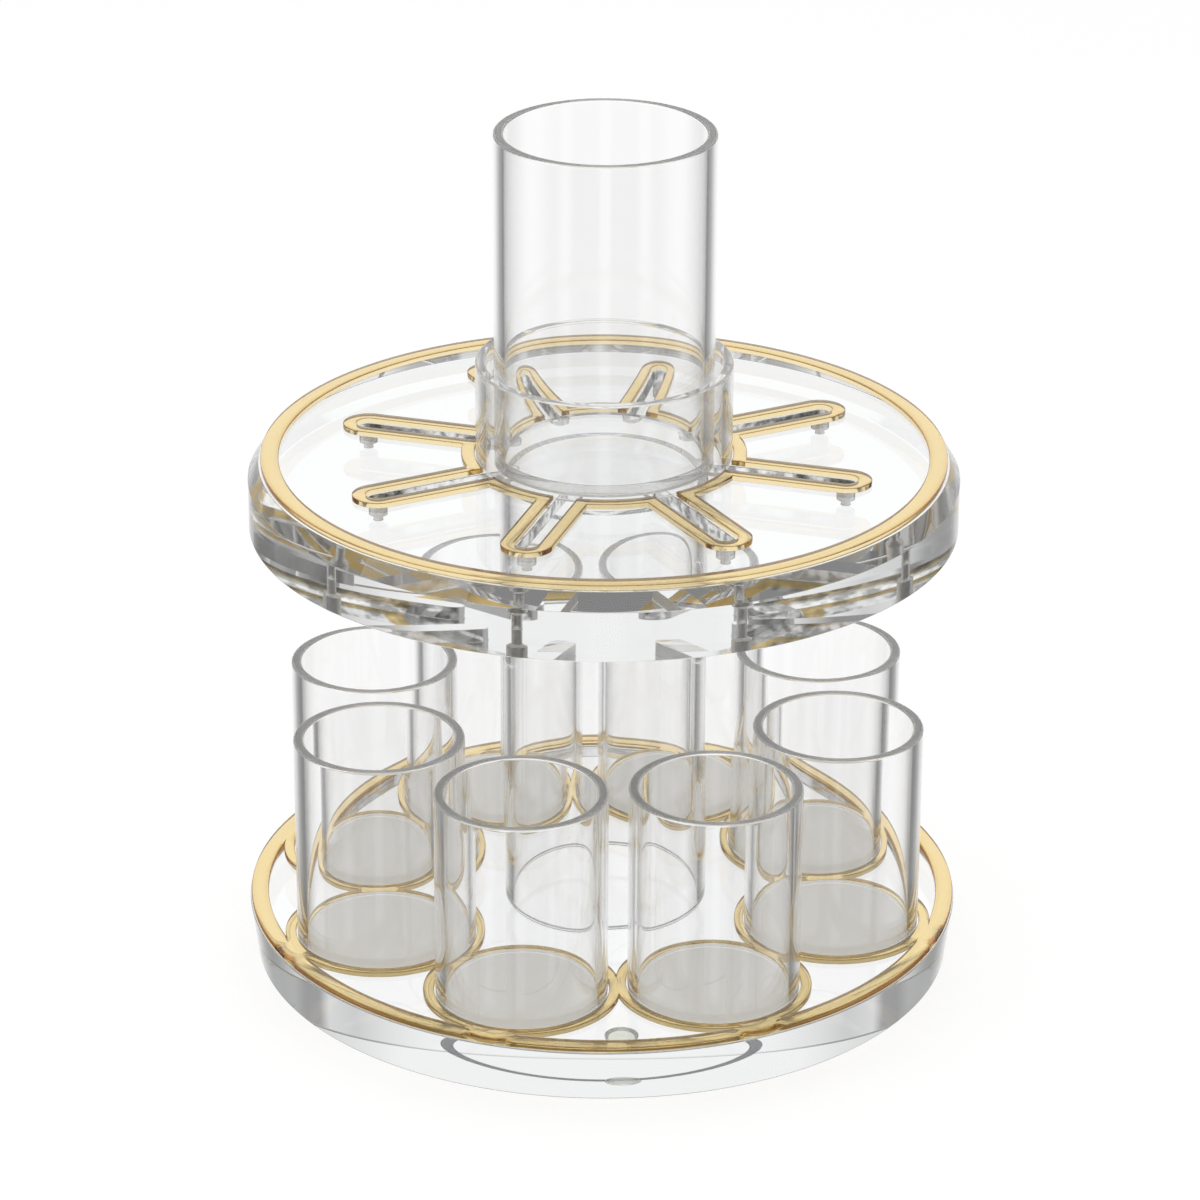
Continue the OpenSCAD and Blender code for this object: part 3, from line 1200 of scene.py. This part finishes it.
@dataclass
class Studio:
    """Camera, soft light, pale floor and white surroundings."""

    camera_distance: float = 1337.15
    camera_height: float = 695.9
    camera_azimuth: float = math.radians(-3.95)
    aim_height: float = 114.15
    roll: float = math.radians(0.26)
    lens: float = 145.93
    sensor: float = 36.0
    shift_x: float = -0.0028
    floor_half: float = 4000.0
    floor_glow: float = 0.75
    fill: float = 0.86
    bounces: int = 96
    clear_bounces: int = 40
    guided_depth: float = 1.5
    lamps: tuple[Softbox, ...] = (
        Softbox("top_softbox", place=(0, 200, 1500), size=1200, power=4.0),
        Softbox("left_softbox", place=(-1300, -500, 900), size=900, power=4.0))
    plain_rest: Stops = ((-1, 1.0), (1, 1.0))
    plain_bands: tuple[CardBand, ...] = (
        CardBand(-0.56, -0.25, (
            (0, 1.0), (14, 1.0), (20, 0.85), (27, 0.55), (31, 0.38), (41, 0.2), (58, 0.2), (72, 0.7),
            (80, 0.9), (100, 0.9), (112, 0.5), (126, 0.3), (130, 0.75), (140, 0.75), (144, 0.3),
            (172, 0.3), (176, 0.75), (180, 0.75)), blur=0.04),)
    guided_rest: Stops = ((-1, 1.0), (-0.8, 0.8), (-0.7, 0.2), (0.8, 0.2), (0.9, 1.0))
    guided_bands: tuple[CardBand, ...] = (
        CardBand(-0.26, 0.26, (
            (0, 0.9), (18, 0.9), (26, 0.25), (40, 0.25), (48, 0.4), (75, 0.4), (110, 0.2), (140, 0.45),
            (180, 0.5))),
        CardBand(-0.55, -0.27, (
            (0, 0.9), (24, 0.9), (30, 0.78), (38, 0.68), (48, 0.66), (56, 0.42), (105, 0.42), (118, 0.25),
            (140, 0.4), (165, 0.55), (180, 0.6))),
        CardBand(0.27, 0.36, (*UPPER_FRONT, (130, 0.42), (150, 0.5), (165, 0.6), (180, 0.6))),
        CardBand(0.36, 0.55, (
            *UPPER_FRONT, (105, 0.42), (118, 0.2), (150, 0.12), (165, 0.03), (180, 0.03))))

    def build_camera(self) -> None:
        """Places the camera at the picture's height, distance and angle."""
        data = bpy.data.cameras.new("studio_camera")
        data.lens = self.lens
        data.sensor_width = self.sensor
        data.shift_x = self.shift_x
        camera = bpy.data.objects.new("studio_camera", data)
        bpy.context.scene.collection.objects.link(camera)
        across = self.camera_distance * math.sin(self.camera_azimuth)
        back = -self.camera_distance * math.cos(self.camera_azimuth)
        pose = aimed((across, back, self.camera_height), self.aim_height)
        camera.matrix_world = pose @ Matrix.Rotation(self.roll, 4, "Z")
        bpy.context.scene.camera = camera

    def build_floor(self) -> None:
        """Lays the pale floor, which glows to the camera and is dull to everything else."""
        mesh = bpy.data.meshes.new("studio_floor")
        corners = np.array([(-1, -1, 0), (1, -1, 0), (1, 1, 0), (-1, 1, 0)]) * self.floor_half * MM
        mesh.from_pydata(corners.tolist(), [], [(0, 1, 2, 3)])
        floor = bpy.data.objects.new("studio_floor", mesh)
        bpy.context.scene.collection.objects.link(floor)
        material, tree, unused = new_material("white_paper_floor")
        tree.nodes.remove(unused)
        seen = add_node(tree, "ShaderNodeLightPath").outputs["Is Camera Ray"]
        paper = add_node(tree, "ShaderNodeBsdfDiffuse", {"Color": (1, 1, 1, 1)}).outputs[0]
        glow = add_node(tree, "ShaderNodeEmission", {"Color": (1, 1, 1, 1), "Strength": 1.0}).outputs[0]
        share = add_node(tree, "ShaderNodeMath", {0: seen, 1: self.floor_glow},
                         operation="MULTIPLY").outputs[0]
        mixed = add_node(tree, "ShaderNodeMixShader", {0: share, 1: paper, 2: glow}).outputs[0]
        set_inputs(tree.nodes["Material Output"], {"Surface": mixed})
        mesh.materials.append(material)
        floor.visible_transmission = floor.visible_glossy = False

    def level_by(self, tree: Tree, value: Socket, low: float, high: float,
                 stops: Stops) -> Socket:
        """Adds a brightness that follows a value from stop to stop.

        Args:
            tree: Node tree of the world.
            value: Socket with the value, from 0 at low to 1 at high.
            low: Place of a stop where the value is 0.
            high: Place of a stop where the value is 1.
            stops: Place and brightness of each stop, in order.

        Returns:
            The brightness.
        """
        node = add_node(tree, "ShaderNodeValToRGB", {0: value})
        while len(node.color_ramp.elements) < len(stops):
            node.color_ramp.elements.new(1.0)
        for stop, (place, level) in zip(node.color_ramp.elements, stops):
            stop.position = (place - low) / (high - low)
            stop.color = (level, level, level, 1)
        return node.outputs[0]

    def surroundings(self, tree: Tree, height: Socket,
                     angle: Socket, rest: Stops,
                     bands: tuple[CardBand, ...]) -> Socket:
        """Adds the brightness of a set of surroundings: the rest by height, with bands of cards over it.

        Args:
            tree: Node tree of the world.
            height: Height of the direction, from 0 straight down to 1 straight up.
            angle: Angle to the camera's direction, from 0 ahead of it to 1 behind it.
            rest: Stops over the height outside the bands.
            bands: Bands of cards.

        Returns:
            The brightness.
        """
        level = self.level_by(tree, height, -1, 1, rest)
        for band in bands:
            inside = self.level_by(tree, height, -1, 1, band.window())
            cards = self.level_by(tree, angle, 0, 180, band.stops)
            level = add_node(tree, "ShaderNodeMix", {0: inside, 6: level, 7: cards},
                             data_type="RGBA").outputs[2]
        return level

    def direction(self, tree: Tree) -> tuple[Socket, Socket]:
        """Adds the direction in which light is looked for.

        Args:
            tree: Node tree of the world.

        Returns:
            Its height and its angle to the camera's direction, both from 0 to 1.
        """
        way = add_node(tree, "ShaderNodeTexCoord").outputs["Generated"]
        ahead = (-math.sin(self.camera_azimuth), math.cos(self.camera_azimuth), 0)
        right = (math.cos(self.camera_azimuth), math.sin(self.camera_azimuth), 0)
        onward, aside = (add_node(tree, "ShaderNodeVectorMath", {0: way, 1: axis}, operation="DOT_PRODUCT")
                         for axis in (ahead, right))
        turn = add_node(tree, "ShaderNodeMath", {0: aside.outputs["Value"], 1: onward.outputs["Value"]},
                        operation="ARCTAN2").outputs[0]
        size = add_node(tree, "ShaderNodeMath", {0: turn}, operation="ABSOLUTE").outputs[0]
        angle = add_node(tree, "ShaderNodeMath", {0: size, 1: math.pi}, operation="DIVIDE").outputs[0]
        upward = add_node(tree, "ShaderNodeSeparateXYZ", {0: way}).outputs["Z"]
        height = add_node(tree, "ShaderNodeMapRange", {"Value": upward, "From Min": -1.0}).outputs[0]
        return height, angle

    def build_world(self) -> None:
        """Builds the surroundings: white to the camera, an even fill on dull surfaces, cards for the acrylic.

        Light that runs along inside the acrylic and is turned back more than once meets darker cards, which
        gives the discs' edges their dark and light facets.
        """
        world = bpy.data.worlds.new("white_studio")
        bpy.context.scene.world = world
        world.use_nodes = True
        tree = world.node_tree
        tree.nodes.clear()
        path = add_node(tree, "ShaderNodeLightPath").outputs
        height, angle = self.direction(tree)
        plain = self.surroundings(tree, height, angle, self.plain_rest, self.plain_bands)
        deep = self.surroundings(tree, height, angle, self.guided_rest, self.guided_bands)
        guided = add_node(tree, "ShaderNodeMath", {0: path["Glossy Depth"], 1: self.guided_depth},
                          operation="GREATER_THAN").outputs[0]
        cards = add_node(tree, "ShaderNodeMix", {0: guided, 6: plain, 7: deep}, data_type="RGBA").outputs[2]
        white, soft, studio = (
            add_node(tree, "ShaderNodeBackground", {"Color": colour, "Strength": strength}).outputs[0]
            for colour, strength in (((1, 1, 1, 1), 1.0), ((1, 1, 1, 1), self.fill), (cards, 1.0)))
        bent = add_node(tree, "ShaderNodeMath", {0: path["Is Glossy Ray"], 1: path["Is Transmission Ray"]},
                        operation="MAXIMUM").outputs[0]
        lit = add_node(tree, "ShaderNodeMixShader", {0: bent, 1: soft, 2: studio}).outputs[0]
        shown = add_node(tree, "ShaderNodeMixShader", {0: path["Is Camera Ray"], 1: lit, 2: white}).outputs[0]
        add_node(tree, "ShaderNodeOutputWorld", {"Surface": shown})

    def build(self) -> None:
        """Builds the whole studio and its view settings."""
        scene = bpy.context.scene
        scene.view_settings.view_transform = "Standard"
        scene.cycles.max_bounces = scene.cycles.glossy_bounces = self.bounces
        scene.cycles.transmission_bounces = scene.cycles.transparent_max_bounces = self.clear_bounces
        self.build_camera()
        self.build_floor()
        self.build_world()
        for lamp in self.lamps:
            lamp.build(self.aim_height)


def main() -> None:
    """Builds the studio and every sub-assembly in order."""
    logging.basicConfig(level=logging.INFO, format="%(name)s %(message)s")
    fits, finishes = Fits(), Finishes.make()
    Studio().build()
    low, high = span("small_cup_1_tube")
    first = (low + high) / 2
    cup_circle, cup_angle = math.hypot(first[0], first[1]), math.atan2(first[1], first[0])
    Base(fits, cup_circle, cup_angle).build(finishes)
    ClearTube("column_tube", "stand", TubeKind.COLUMN, fits).build(finishes)
    UpperDisc(fits, cup_circle, cup_angle).build(finishes)
    Cup("large_cup", Slot.CLEAR, fits, tube_steps=192).build(finishes)
    for number in range(1, CUP_COUNT + 1):
        Cup(f"small_cup_{number}", Slot.FROSTED, fits, tube_steps=160).build(finishes)


if __name__ == "__main__":
    main()
